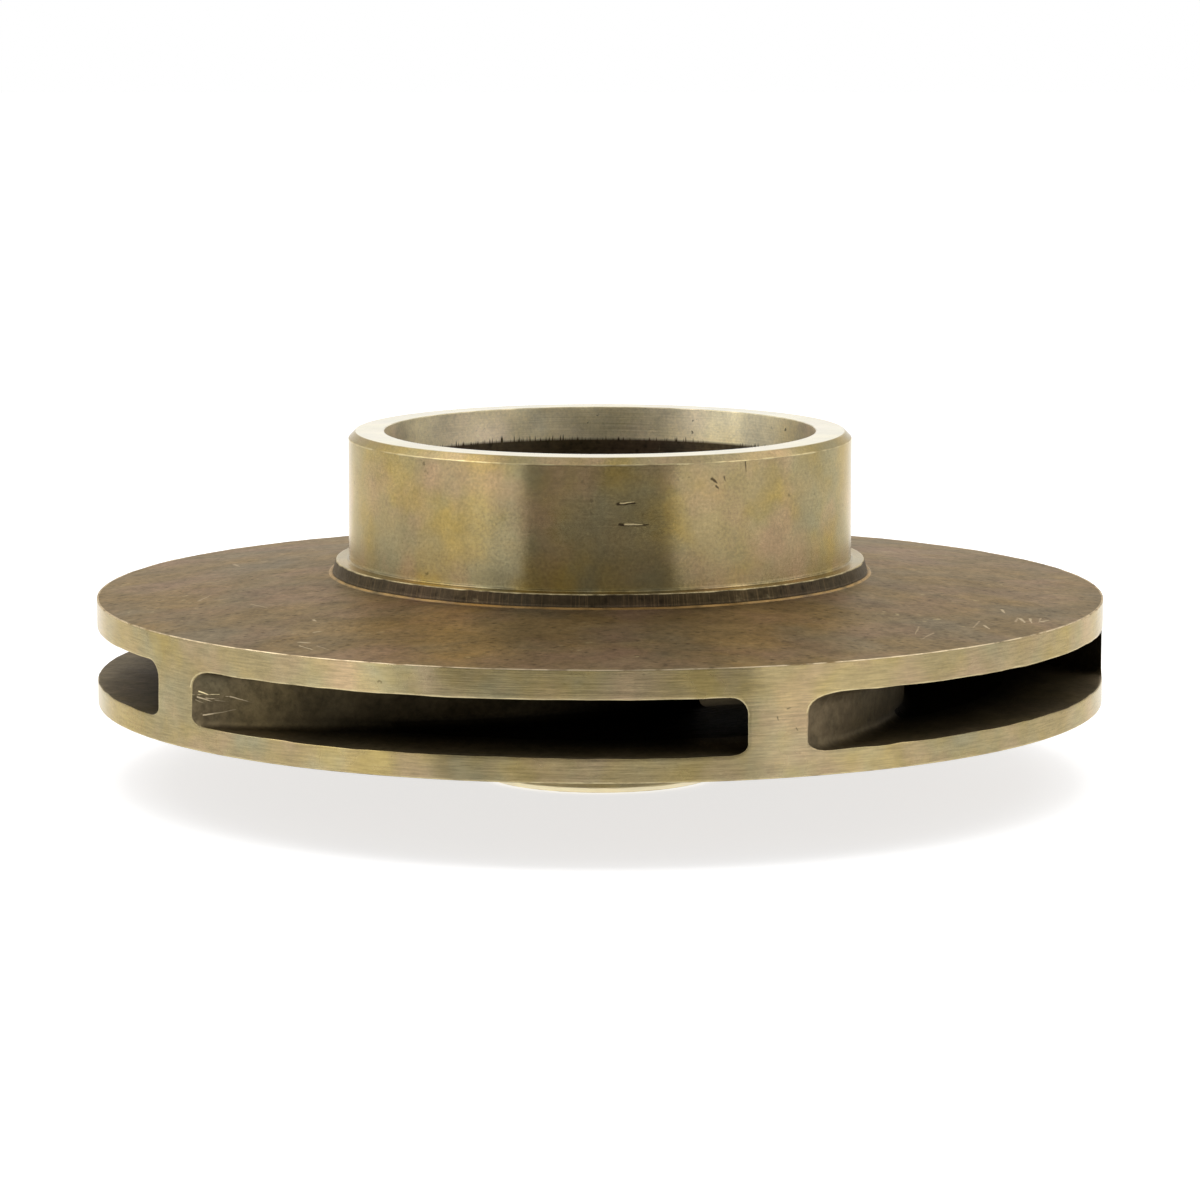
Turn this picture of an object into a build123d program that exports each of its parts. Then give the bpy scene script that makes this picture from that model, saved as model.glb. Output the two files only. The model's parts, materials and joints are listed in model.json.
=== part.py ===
"""Closed centrifugal pump impeller, cast in one piece and then turned.

The casting has a back shroud with a hub that takes the shaft, a front shroud that
carries the suction eye, and five backward-curved vanes between the two shrouds.
Water enters the eye along the shaft and leaves through the slots in the rim.

Frame: millimetres, +Z along the shaft from the hub's back face towards the eye,
origin on the shaft axis in the hub's back face, keyway on +X.
"""

from build123d import *

import math
import os

# --- Rim: the turned outside of both shrouds -------------------------------------
RIM_DIAMETER = 177.8
BACK_SHROUD_THICKNESS = 4.1
OUTLET_HEIGHT = 9.4
FRONT_SHROUD_THICKNESS = 4.9
FRONT_SHROUD_ANGLE = 5.2  # degrees that the front shroud rises from the rim to the eye

# --- Suction eye: the turned ring that runs in the casing's wear ring -------------
EYE_DIAMETER = 76.2
EYE_WALL = 6.35
WEAR_RING_HEIGHT = 22.7
WEAR_RING_CHAMFER = 1.2
SHOULDER_WIDTH = 2.3  # how far the shoulder's top stands out from the wear ring
SHOULDER_HEIGHT = 2.4
SHOULDER_DRAFT = 0.7
EYE_TURNED_DEPTH = 6.0  # below this the eye is as cast, and flares
EYE_FLARE_ANGLE = 4.0
THROAT_RADIUS = 10.0  # the turn that the water makes from the eye into the passages

# --- Hub ---------------------------------------------------------------------------
SHAFT_BORE = 22.225
BORE_CHAMFER = 0.8
KEYWAY_WIDTH = 4.76
KEYWAY_DEPTH = 2.4
HUB_WALL = 10.9
HUB_BACK_LENGTH = 14.1  # from the back shroud's outer face to the hub's back face
HUB_CHAMFER = 1.0
HUB_ROOT_FILLET = 2.5
NOSE_WALL = 6.4
NOSE_HEIGHT = 25.0  # above the inner face of the back shroud
NOSE_CHAMFER = 1.0
NOSE_DRAFT = 3.0
NOSE_ROOT_RADIUS = 16.0

# --- Vanes: each is one arc, set by its angle from the tangent at both ends ---------
VANE_COUNT = 5
VANE_THICKNESS = 4.8
VANE_SETBACK = 4.5  # how far outside the turned eye the vanes' inlet edges lie
VANE_INLET_ANGLE = 23.0
VANE_OUTLET_ANGLE = 28.0
FIRST_VANE_ANGLE = -71.2  # the first vane's tip on the rim, measured from the keyway
BACK_FILLET = 1.6
FRONT_FILLET = 2.8

# --- Heights and radii that follow ---------------------------------------------------
RIM_RADIUS = RIM_DIAMETER / 2
EYE_RADIUS = EYE_DIAMETER / 2
WEAR_RING_RADIUS = EYE_RADIUS + EYE_WALL
BORE_RADIUS = SHAFT_BORE / 2
HUB_RADIUS = BORE_RADIUS + HUB_WALL
NOSE_RADIUS = BORE_RADIUS + NOSE_WALL
SHOULDER_TOP_RADIUS = WEAR_RING_RADIUS + SHOULDER_WIDTH
SHOULDER_FOOT_RADIUS = SHOULDER_TOP_RADIUS + SHOULDER_DRAFT
VANE_INLET_RADIUS = EYE_RADIUS + VANE_SETBACK
FRONT_SLOPE = math.tan(math.radians(FRONT_SHROUD_ANGLE))
EYE_SLOPE = math.tan(math.radians(EYE_FLARE_ANGLE))

Z_BACK_OUTER = HUB_BACK_LENGTH
Z_BACK_INNER = Z_BACK_OUTER + BACK_SHROUD_THICKNESS
Z_SLOT_TOP = Z_BACK_INNER + OUTLET_HEIGHT
Z_RIM_TOP = Z_SLOT_TOP + FRONT_SHROUD_THICKNESS
Z_SHOULDER_FOOT = Z_RIM_TOP + (RIM_RADIUS - SHOULDER_FOOT_RADIUS) * FRONT_SLOPE
Z_SHOULDER_TOP = Z_SHOULDER_FOOT + SHOULDER_HEIGHT
Z_TOP = Z_SHOULDER_TOP + WEAR_RING_HEIGHT
Z_EYE_TURNED = Z_TOP - EYE_TURNED_DEPTH
Z_NOSE = Z_BACK_INNER + NOSE_HEIGHT

OVERCUT = 4.0  # how far a cutting solid runs on past the face it cuts


def front_inner_height(radius):
    """Height of the front shroud's inner face at a radius, before the throat's turn."""
    return Z_SLOT_TOP + (RIM_RADIUS - radius) * FRONT_SLOPE


def throat_corner():
    """Where the flared eye wall would meet the front shroud's inner face."""
    height_at_axis = front_inner_height(0)
    radius = EYE_RADIUS + (Z_EYE_TURNED - height_at_axis) * EYE_SLOPE
    radius /= 1 - FRONT_SLOPE * EYE_SLOPE
    return radius, front_inner_height(radius)


def revolved(outline, rounds):
    """Solid of revolution from (radius, height) points, with some corners rounded."""
    with BuildPart() as turned:
        with BuildSketch(Plane.XZ) as section:
            with BuildLine():
                Polyline(*outline, close=True)
            make_face()
            for corner, radius in rounds:
                fillet(section.vertices().sort_by_distance(corner)[0], radius)
        revolve(axis=Axis.Z)
    return turned.part


def turned_body():
    """The outside of the whole impeller, still solid inside."""
    outline = [
        (0, 0),
        (HUB_RADIUS - HUB_CHAMFER, 0),
        (HUB_RADIUS, HUB_CHAMFER),
        (HUB_RADIUS, Z_BACK_OUTER),
        (RIM_RADIUS, Z_BACK_OUTER),
        (RIM_RADIUS, Z_RIM_TOP),
        (SHOULDER_FOOT_RADIUS, Z_SHOULDER_FOOT),
        (SHOULDER_TOP_RADIUS, Z_SHOULDER_TOP),
        (WEAR_RING_RADIUS, Z_SHOULDER_TOP),
        (WEAR_RING_RADIUS, Z_TOP - WEAR_RING_CHAMFER),
        (WEAR_RING_RADIUS - WEAR_RING_CHAMFER, Z_TOP),
        (0, Z_TOP),
    ]
    return revolved(outline, [((HUB_RADIUS, Z_BACK_OUTER), HUB_ROOT_FILLET)])


def water_space():
    """The space between the shrouds and up through the eye, before the vanes."""
    reach = RIM_RADIUS + OVERCUT
    throat = throat_corner()
    nose_wall_height = NOSE_HEIGHT - NOSE_CHAMFER
    nose_foot = (NOSE_RADIUS + nose_wall_height * math.tan(math.radians(NOSE_DRAFT)), Z_BACK_INNER)
    outline = [
        (0, Z_NOSE),
        (NOSE_RADIUS - NOSE_CHAMFER, Z_NOSE),
        (NOSE_RADIUS, Z_NOSE - NOSE_CHAMFER),
        nose_foot,
        (reach, Z_BACK_INNER),
        (reach, front_inner_height(reach)),
        throat,
        (EYE_RADIUS, Z_EYE_TURNED),
        (EYE_RADIUS, Z_TOP + OVERCUT),
        (0, Z_TOP + OVERCUT),
    ]
    return revolved(outline, [(nose_foot, NOSE_ROOT_RADIUS), (throat, THROAT_RADIUS)])


def vane_arc():
    """Centre and radius of a vane's centre line, for a vane whose tip is on +X."""
    cos_out = math.cos(math.radians(VANE_OUTLET_ANGLE))
    sin_out = math.sin(math.radians(VANE_OUTLET_ANGLE))
    cos_in = math.cos(math.radians(VANE_INLET_ANGLE))
    rise = RIM_RADIUS**2 - VANE_INLET_RADIUS**2
    radius = rise / (2 * (RIM_RADIUS * cos_out - VANE_INLET_RADIUS * cos_in))
    centre = (RIM_RADIUS - radius * cos_out, -radius * sin_out)
    return centre, radius


def angle_on_arc(centre, radius, distance):
    """Angle about the arc's centre of its point at a distance from the shaft axis."""
    offset = math.hypot(*centre)
    towards_axis = math.degrees(math.atan2(-centre[1], -centre[0]))
    bend = (offset**2 + radius**2 - distance**2) / (2 * offset * radius)
    return towards_axis - math.degrees(math.acos(bend))


def vane():
    """One vane with its tip on +X and a round inlet edge, taller than the passage."""
    centre, radius = vane_arc()
    tip = angle_on_arc(centre, radius, RIM_RADIUS + 2 * OVERCUT)
    inlet = angle_on_arc(centre, radius, VANE_INLET_RADIUS)
    with BuildPart() as blade:
        with BuildSketch(Plane.XY.offset(Z_BACK_OUTER)):
            with BuildLine():
                line = CenterArc(centre, radius, tip, inlet - tip)
            SlotArc(line, VANE_THICKNESS)
        extrude(amount=Z_SHOULDER_TOP - Z_BACK_OUTER)
    return blade.part


def vane_wall_edges(space):
    """The curved edges along the foot and the head of every vane in the water space."""
    foot_edges = []
    head_edges = []
    for face in space.faces().filter_by(GeomType.CYLINDER):
        axis_offset = face.axis_of_rotation.position
        if math.hypot(axis_offset.X, axis_offset.Y) < VANE_THICKNESS:
            continue
        for edge in face.edges():
            if edge.geom_type == GeomType.LINE:
                continue
            at_foot = edge.center().Z < Z_BACK_INNER + OUTLET_HEIGHT / 2
            (foot_edges if at_foot else head_edges).append(edge)
    return foot_edges, head_edges


def passages():
    """The water space with the vanes taken out and its corners rounded, as one core."""
    space = water_space()
    blade = vane()
    for index in range(VANE_COUNT):
        space -= Rot(0, 0, FIRST_VANE_ANGLE + index * 360 / VANE_COUNT) * blade
    space = space.solid()
    space = space.fillet(BACK_FILLET, vane_wall_edges(space)[0])
    space = space.fillet(FRONT_FILLET, vane_wall_edges(space)[1])
    return space


def shaft_hole():
    """The bore with its chamfers and keyway, as one cutting solid."""
    chamfer_radius = BORE_RADIUS + BORE_CHAMFER
    outline = [
        (0, 0),
        (chamfer_radius, 0),
        (BORE_RADIUS, BORE_CHAMFER),
        (BORE_RADIUS, Z_NOSE - BORE_CHAMFER),
        (chamfer_radius, Z_NOSE),
        (0, Z_NOSE),
    ]
    keyway = Box(
        BORE_RADIUS + KEYWAY_DEPTH,
        KEYWAY_WIDTH,
        Z_NOSE,
        align=(Align.MIN, Align.CENTER, Align.MIN),
    )
    return revolved(outline, []) + keyway


def impeller():
    """The whole casting: the turned outside, less the core and the shaft's hole."""
    return turned_body() - passages() - shaft_hole()


if __name__ == "__main__":
    casting = impeller()
    casting.label = "impeller"
    os.makedirs("parts", exist_ok=True)
    export_step(casting, "parts/impeller.step")
    box = casting.bounding_box()
    print(f"impeller: {len(casting.solids())} solid, {casting.volume / 1000:.1f} cm3")
    print(f"size {box.size.X:.2f} x {box.size.Y:.2f} x {box.size.Z:.2f} mm")
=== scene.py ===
# %% [markdown]
# # A bronze pump impeller
#
# The impeller is one bronze casting: a back shroud with a hub for the shaft, a front shroud
# with a ring round its eye, and five curved vanes between the two. After casting, a lathe
# cleans the rim, the ring, the hub's ends and the bore, and leaves the rest as it came out
# of the sand. So there are two looks side by side: bright turned metal with fine lines, and
# a dull brown skin with a sandy grain. This lesson builds one closed mesh for the casting,
# gives each region its finish, and lights it softly over a white floor.

# %% Load the frame
import json
import math

import bmesh
import bpy
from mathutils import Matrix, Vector


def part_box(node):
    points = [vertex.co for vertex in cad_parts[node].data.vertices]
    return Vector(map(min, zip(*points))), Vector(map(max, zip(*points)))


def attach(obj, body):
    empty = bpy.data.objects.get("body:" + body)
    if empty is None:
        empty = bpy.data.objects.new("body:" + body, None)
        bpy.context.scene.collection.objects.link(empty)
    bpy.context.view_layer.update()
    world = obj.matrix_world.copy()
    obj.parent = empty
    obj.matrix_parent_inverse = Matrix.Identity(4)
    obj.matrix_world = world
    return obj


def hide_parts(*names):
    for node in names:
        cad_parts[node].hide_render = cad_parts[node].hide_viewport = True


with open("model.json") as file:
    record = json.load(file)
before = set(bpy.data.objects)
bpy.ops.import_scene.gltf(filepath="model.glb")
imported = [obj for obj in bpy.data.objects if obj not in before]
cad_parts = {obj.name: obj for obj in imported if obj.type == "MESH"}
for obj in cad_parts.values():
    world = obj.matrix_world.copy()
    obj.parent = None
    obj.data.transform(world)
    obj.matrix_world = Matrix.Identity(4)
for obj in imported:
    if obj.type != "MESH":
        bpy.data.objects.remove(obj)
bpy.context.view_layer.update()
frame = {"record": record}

# %% [markdown]
# ## The sizes
#
# Every main size is read from the frame, so the mesh follows the CAD part: the rim from the
# part's box, the ring and the bore from its mounts. What no mount states, such as a wall or
# a fillet, is a named value in millimetres here. Blender works in metres, so one factor
# turns the finished millimetres into metres when the mesh is made.

# %% Sizes from the frame, in millimetres
MM = 0.001
mounts = {mount["name"]: mount for mount in frame["record"]["mounts"]}
low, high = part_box("impeller")
rim_radius = (high.x - low.x) / 2 / MM
top_height = high.z / MM
ring_radius = mounts["wear_ring"]["dims"]["r_mm"]
bore_radius = mounts["shaft_bore"]["dims"]["r_mm"]
nose_height = mounts["nose_face"]["pos_m"][2] / MM
print(f"rim {rim_radius:.2f}, ring {ring_radius:.2f}, bore {bore_radius:.2f}, height {top_height:.2f}")

# %% Walls, heights and angles, in millimetres and degrees
hub_back_length = 14.1
back_shroud = 4.1
outlet_height = 9.4
front_shroud = 4.9
front_slope = math.tan(math.radians(5.2))
floor_height = hub_back_length + back_shroud
slot_top = floor_height + outlet_height
rim_top = slot_top + front_shroud

eye_radius = ring_radius - 6.35
eye_turned_depth = 6.0
eye_flare = math.tan(math.radians(4.0))
throat_radius = 10.0
ring_chamfer = 1.2
shoulder_width = 2.3
shoulder_draft = 0.7
shoulder_foot_radius = ring_radius + shoulder_width + shoulder_draft
shoulder_foot = rim_top + (rim_radius - shoulder_foot_radius) * front_slope
shoulder_top = shoulder_foot + 2.4

hub_radius = bore_radius + 10.9
hub_root_fillet = 2.5
hub_chamfer = 1.0
nose_radius = bore_radius + 6.4
nose_chamfer = 1.0
nose_draft = math.tan(math.radians(3.0))
nose_foot_radius = nose_radius + (nose_height - nose_chamfer - floor_height) * nose_draft
nose_root_radius = 16.0
bore_chamfer = 0.8
keyway_half_width = 2.38
keyway_reach = bore_radius + 2.4

vane_count = 5
pitch = 2 * math.pi / vane_count
half_vane = 2.4
inlet_radius = eye_radius + 4.5
inlet_angle = math.radians(23.0)
outlet_angle = math.radians(28.0)
first_tip = math.radians(-71.2)
back_fillet = 1.6
front_fillet = 2.8

# %% [markdown]
# ## The vanes on paper
#
# Each vane is one arc with a constant thickness, as a pattern maker draws it. Every point
# of the mesh is placed by its distance from the shaft, so the useful question is: at this
# distance, at which angle does each side of the vane lie? A circle about the shaft and the
# vane's arc make a triangle with known sides, and the law of cosines gives the angle.
# Near the inlet, the vane ends in a half-round nose, and the same triangle serves there.

# %% The vane's arc and its two sides
arc_radius = (rim_radius**2 - inlet_radius**2) / (
    2 * (rim_radius * math.cos(outlet_angle) - inlet_radius * math.cos(inlet_angle))
)
arc_x = rim_radius - arc_radius * math.cos(outlet_angle)
arc_y = -arc_radius * math.sin(outlet_angle)
arc_offset = math.hypot(arc_x, arc_y)
arc_bearing = math.atan2(arc_y, arc_x)


def triangle_angle(side_a, side_b, opposite):
    """Angle between two sides of a triangle, from its three lengths."""
    cosine = (side_a**2 + side_b**2 - opposite**2) / (2 * side_a * side_b)
    return math.acos(max(-1.0, min(1.0, cosine)))


def on_arc(distance, radius):
    """Angle round the shaft at which an arc about the vane's centre has that distance."""
    return arc_bearing + triangle_angle(distance, arc_offset, radius)


inlet_bearing = on_arc(inlet_radius, arc_radius)
nose_x = inlet_radius * math.cos(inlet_bearing)
nose_y = inlet_radius * math.sin(inlet_bearing)
nose_end_radius = inlet_radius - half_vane
out_x, out_y = nose_x - arc_x, nose_y - arc_y
TRAILING, LEADING = -1, 1


def nose_joint(side):
    """Distance from the shaft at which a side of the vane runs into its round nose."""
    reach = side * half_vane
    return math.hypot(nose_x + reach * out_x / arc_radius, nose_y + reach * out_y / arc_radius)


def vane_side(distance, side):
    """Angle of one side of a vane at a distance, with its tip on +X."""
    if distance > nose_joint(side):
        return on_arc(distance, arc_radius + side * half_vane)
    return inlet_bearing + side * triangle_angle(distance, inlet_radius, half_vane)


# %% How far a place is from the vane
def gap_to_vane(x, y):
    """Distance in plan from a point to the side of the vane whose tip is on +X, and whether
    that is its trailing side."""
    from_arc = math.hypot(x - arc_x, y - arc_y)
    turn = math.atan2(y - arc_y, x - arc_x) - math.atan2(out_y, out_x)
    turn = (turn + math.pi) % (2 * math.pi) - math.pi
    if 0 < turn < math.pi / 2:  # beyond the arc's inlet end, so beside the nose
        return math.hypot(x - nose_x, y - nose_y) - half_vane, False
    return abs(from_arc - arc_radius) - half_vane, from_arc < arc_radius


print(f"vane arc radius {arc_radius:.1f} mm, wrap {math.degrees(inlet_bearing):.0f} degrees")

# %% [markdown]
# ## A fifth of the casting
#
# The vanes repeat every fifth of a turn, so only one passage with one vane is drawn:
# its mesh is a set of rows, each a chain of points round the shaft, with a skin of quads
# between neighbouring rows.
# inside. Building rows by formula beats a boolean cut here: the points sit exactly on the
# fillets and slot edges, every edge gets its small worn round, and no sliver faces appear.
# Three values ride on each point for later: its edge value, worn above 0 and painted
# shade below 0; how much the sand's unevenness may move it; and whether it must keep its
# distance from the shaft.

# %% Containers for the sector
points, bearings, wear_and_shade_values, uneven, held = [], [], [], [], []
faces, finishes = [], []
TURNED, RING, FACED, SKIN, PASSAGE, EYE, SHOULDER, BORE, BURR, SHADED_FLOOR = range(10)


def add_point(radius, angle, height, edge=0.0, relief=0.0, hold=0.0):
    """Adds one point in cylindrical coordinates and gives its number."""
    points.append((radius * math.cos(angle) * MM, radius * math.sin(angle) * MM, height * MM))
    bearings.append(angle)
    wear_and_shade_values.append(edge)
    uneven.append(relief)
    held.append(hold)
    return len(points) - 1


def skin(row_a, row_b, finish):
    """Quads between two rows with as many points."""
    for a, b, c, d in zip(row_a, row_a[1:], row_b[1:], row_b):
        faces.append((a, b, c, d))
        finishes.append(finish)


def zip_rows(row_a, row_b, finish):
    """Triangles between two rows with unlike counts, in order of their angle."""
    a = b = 0
    while a < len(row_a) - 1 or b < len(row_b) - 1:
        a_left, b_left = a < len(row_a) - 1, b < len(row_b) - 1
        step_a = a_left and (not b_left or bearings[row_a[a + 1]] <= bearings[row_b[b + 1]])
        if step_a:
            faces.append((row_a[a], row_a[a + 1], row_b[b]))
            a += 1
        else:
            faces.append((row_a[a], row_b[b + 1], row_b[b]))
            b += 1
        finishes.append(finish)


# %% Sections for the lathe
EDGE_ROUND = 0.16
LARGEST_EDGE = 1.0
FEWEST_STEPS = 3
GUARD = 0.4
ROW_GAP = dict.fromkeys((TURNED, RING, FACED, BORE), 4.0)
ROW_GAP |= {SKIN: 2.2, PASSAGE: 1.9, EYE: 1.5, SHOULDER: 0.8, BURR: 1.0}


def part_way(first, last, share):
    """The value at a share of the way from the first to the last."""
    return first + (last - first) * share


# %% Rounded corners of a section
def corner_arc(before, corner, after, size):
    """Centre, start and end of the arc that rounds a corner of a section."""
    to_before = (Vector(before) - Vector(corner)).normalized()
    to_after = (Vector(after) - Vector(corner)).normalized()
    half = to_before.angle(to_after) / 2
    centre = Vector(corner) + (to_before + to_after).normalized() * size / math.sin(half)
    reach = size / math.tan(half)
    return centre, Vector(corner) + to_before * reach, Vector(corner) + to_after * reach


def rounded_corner(before, corner, after, size, finish_before, finish_after):
    """Rows round one corner; an outer edge that wears has edge 1, and an inner corner has edge -1, which
    paints shade there.
    """
    centre, start, end = corner_arc(before, corner, after, size)
    along, onwards = Vector(corner) - Vector(before), Vector(after) - Vector(corner)
    left_turn = along.x * onwards.y - along.y * onwards.x > 0
    # An inner corner gets edge -1, which later paints shade in it.
    edge = (1.0 if left_turn else -1.0) if size < LARGEST_EDGE else 0.0
    turn = (start - centre).angle(end - centre)
    steps = max(FEWEST_STEPS, round(turn * size / ROW_GAP[finish_after]))
    rows = []
    for step in range(steps + 1):
        place = centre + (start - centre).slerp(end - centre, step / steps).normalized() * size
        rows.append((*place, edge, finish_before if step * 2 < steps else finish_after))
    if edge:
        rows.insert(0, (*(start - along.normalized() * GUARD), 0.0, finish_before))
        rows.append((*(end + onwards.normalized() * GUARD), 0.0, finish_after))
    return rows


# %% From a path to rows, and from rows to a skin
def section(path):
    """Rows (radius, height, edge, finish) along a path of (radius, height, round, finish),
    which has the metal on its left. A row's finish is that of the skin after it."""
    corners = []
    for index, (radius, height, size, finish) in enumerate(path):
        if size:
            before, after = path[index - 1], path[index + 1]
            corners += rounded_corner(before[:2], (radius, height), after[:2], size, before[3], finish)
        else:
            corners.append((radius, height, 0.0, finish))
    rows = corners[:1]
    for row in corners[1:]:
        last = rows[-1]
        count = math.ceil(math.dist(row[:2], last[:2]) / ROW_GAP[last[3]])
        for step in range(1, count):
            place = [part_way(last[axis], row[axis], step / count) for axis in (0, 1)]
            rows.append((*place, 0.0, last[3]))
        rows.append(row)
    return rows


def level(radius, angle):
    """No rise, for a section that is the same all round."""
    return 0.0


def turn_section(first_row, rows, angles, rise=level):
    """Adds all rows of a section but its first, which is there, and gives the last one."""
    last_row, finish = first_row, rows[0][3]
    for radius, height, edge, next_finish in rows[1:]:
        relief = CAST_RELIEF.get(next_finish, 0.0) if next_finish == finish and edge == 0 else 0.0
        new_row = [add_point(radius, a, height + rise(radius, a), edge, relief) for a in angles]
        skin(last_row, new_row, finish)
        last_row, finish = new_row, next_finish
    return last_row


CAST_RELIEF = {SKIN: 0.35, PASSAGE: 1.0, EYE: 0.5, SHOULDER: 0.3, BURR: 0.35}

# %% The slot's columns and the stations along the passage
FILLET_STEPS = 6
COLUMNS_ACROSS = 40
WALL_LEVELS = 7
SLOT_ROUND = 0.12

tip_trailing, tip_leading = (vane_side(rim_radius, side) for side in (TRAILING, LEADING))
slot_length = rim_radius * (tip_trailing + pitch - tip_leading)
TRAILING_REACH = 0.5


def fillet_columns(reach):
    """Shares of the slot's length at which a fillet of that reach needs its columns."""
    widths = [reach * (1 - math.cos(step * math.pi / 2 / FILLET_STEPS)) for step in range(FILLET_STEPS + 1)]
    return [width / math.sin(outlet_angle) / slot_length for width in widths]


near, far = fillet_columns(front_fillet), fillet_columns(front_fillet * TRAILING_REACH)
between = 1 - near[-1] - far[-1]
across = [near[-1] + between * step / COLUMNS_ACROSS for step in range(1, COLUMNS_ACROSS)]
fractions = near + across + [1 - share for share in reversed(far)]

STATION_GAP = 2.1
NOSE_STATIONS = 7
straight_end = nose_joint(LEADING)
count = round((rim_radius - SLOT_ROUND - straight_end) / STATION_GAP)
stations = [rim_radius - SLOT_ROUND, rim_radius - SLOT_ROUND - GUARD]
stations += [stations[-1] + (straight_end - stations[-1]) * step / count for step in range(1, count + 1)]
for step in range(1, NOSE_STATIONS + 1):
    turn = inlet_angle + (math.pi - inlet_angle) * step / NOSE_STATIONS
    twice_product = 2 * inlet_radius * half_vane * math.cos(turn)
    stations.append(math.sqrt(inlet_radius**2 + half_vane**2 + twice_product))
print(f"{len(fractions)} columns across a slot, {len(stations)} stations along the passage")

# %% Floor and ceiling of the passage
eye_turned = top_height - eye_turned_depth
ceiling_at_axis = slot_top + rim_radius * front_slope
flared_radius = eye_radius + (eye_turned - ceiling_at_axis) * eye_flare
throat_corner = flared_radius / (1 - front_slope * eye_flare)
throat_place = (throat_corner, ceiling_at_axis - throat_corner * front_slope)
throat_centre, throat_start, throat_end = corner_arc(
    (rim_radius, slot_top), throat_place, (eye_radius, eye_turned), throat_radius
)


def ceiling_height(distance):
    """Height of the front shroud's inner face, on its cone or on the throat's curve."""
    if distance >= throat_start.x:
        return ceiling_at_axis - distance * front_slope
    return throat_centre.y - math.sqrt(throat_radius**2 - (throat_centre.x - distance) ** 2)


# %% Fillets where the vanes meet the floor and the ceiling
def fillet_rise(gap, size):
    """How far a fillet stands up from the face at a distance from the wall."""
    inside = max(0.0, size - max(0.0, gap))
    return size - math.sqrt(size**2 - inside**2)


def nearest_vane(distance, angle):
    """Distance in plan from a place to the nearest vane, and whether its trailing side is there."""
    return min(
        gap_to_vane(distance * math.cos(angle - turn), distance * math.sin(angle - turn))
        for turn in (-pitch, 0, pitch)
    )


def floor_at(distance, angle):
    """Height of the passage's floor, with the fillet at the vanes' feet."""
    return floor_height + fillet_rise(nearest_vane(distance, angle)[0], back_fillet)


TIGHT_LENGTH = 25.0


def ceiling_at(distance, angle):
    """Height of the passage's ceiling, with the fillet at the vanes' heads, which reaches less
    far from a trailing side near the rim."""
    gap, trailing = nearest_vane(distance, angle)
    if trailing:
        inwards = min(1.0, (rim_radius - distance) / TIGHT_LENGTH)
        gap /= TRAILING_REACH + (1 - TRAILING_REACH) * inwards
    return ceiling_height(distance) - fillet_rise(gap, front_fillet)


# %% The slot's outline
def outline(distance):
    """The slot's outline at a distance from the shaft, as (angle, height): along the floor from
    the leading wall, up the far wall, back along the ceiling and down again."""
    trailing, leading = (vane_side(distance, side) for side in (TRAILING, LEADING))
    angles = [leading + share * (trailing + pitch - leading) for share in fractions]
    floor = [(angle, floor_at(distance, angle)) for angle in angles]
    ceiling = [(angle, ceiling_at(distance, angle)) for angle in angles]
    levels = [step / WALL_LEVELS for step in range(1, WALL_LEVELS)]
    rise = [part_way(floor[-1][1], ceiling[-1][1], share) for share in levels]
    far_wall = [(angles[-1], height) for height in rise]
    near_wall = [(angles[0], height) for height in reversed(rise)]
    return floor + far_wall + ceiling[::-1] + near_wall


# %% [markdown]
# ## From the rim inwards
#
# At the rim each slot is an oblong hole in the turned band. Its outline is drawn three times,
# each a little further in and a little smaller, which rounds the edge as handling does. From
# the innermost outline the four walls of the passage run inwards, station by station, until
# the vanes end in their noses and the passages open into the eye.

# %% The slot's rounded edge
COLUMNS = len(fractions)
EDGE_RELIEF = 0.7


# Lightest along the slot's top edge: partly wear, partly a painted highlight.
def rub_and_highlight_at(index):
    """How light the slot's edge is made, as wear and as a painted highlight: most along the top, least at the
    leading wall.
    """
    far_wall_end, top_end = COLUMNS + WALL_LEVELS - 1, 2 * COLUMNS + WALL_LEVELS - 1
    if index < COLUMNS:
        return 0.5
    return 0.8 if index < far_wall_end else 1.1 if index < top_end else 0.3


def offset_outline(radius, inset):
    """The rim's outline, grown by inset millimetres into the metal."""
    shape = [(angle * rim_radius, height) for angle, height in outline(rim_radius)]
    grown = []
    for index, (along, height) in enumerate(shape):
        before, after = shape[index - 1], shape[(index + 1) % len(shape)]
        tangent = Vector((after[0] - before[0], after[1] - before[1])).normalized()
        angle = (along + inset * tangent.y) / rim_radius
        grown.append(add_point(radius, angle, height - inset * tangent.x, rub_and_highlight_at(index), EDGE_RELIEF, 1.0))
    return grown


HALF_TURN = 1 - math.sqrt(0.5)
edge_outer = offset_outline(rim_radius, SLOT_ROUND)
edge_middle = offset_outline(rim_radius - HALF_TURN * SLOT_ROUND, HALF_TURN * SLOT_ROUND)

# %% The passage's walls, with painted shade on the floor
MOUTH_WEAR = 0.4
FLOOR_SHADE_START, FLOOR_SHADE_END, FLOOR_SHADE_FADE = 43.0, 72.0, 7.0


def floor_shade_share(distance):
    """How much painted shade darkens the passage's floor: most halfway in, none at either end."""
    from_rim = (FLOOR_SHADE_END + FLOOR_SHADE_FADE - distance) / FLOOR_SHADE_FADE
    from_eye = (distance - FLOOR_SHADE_START) / FLOOR_SHADE_FADE + 1
    return max(0.0, min(1.0, from_rim, from_eye))


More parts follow.
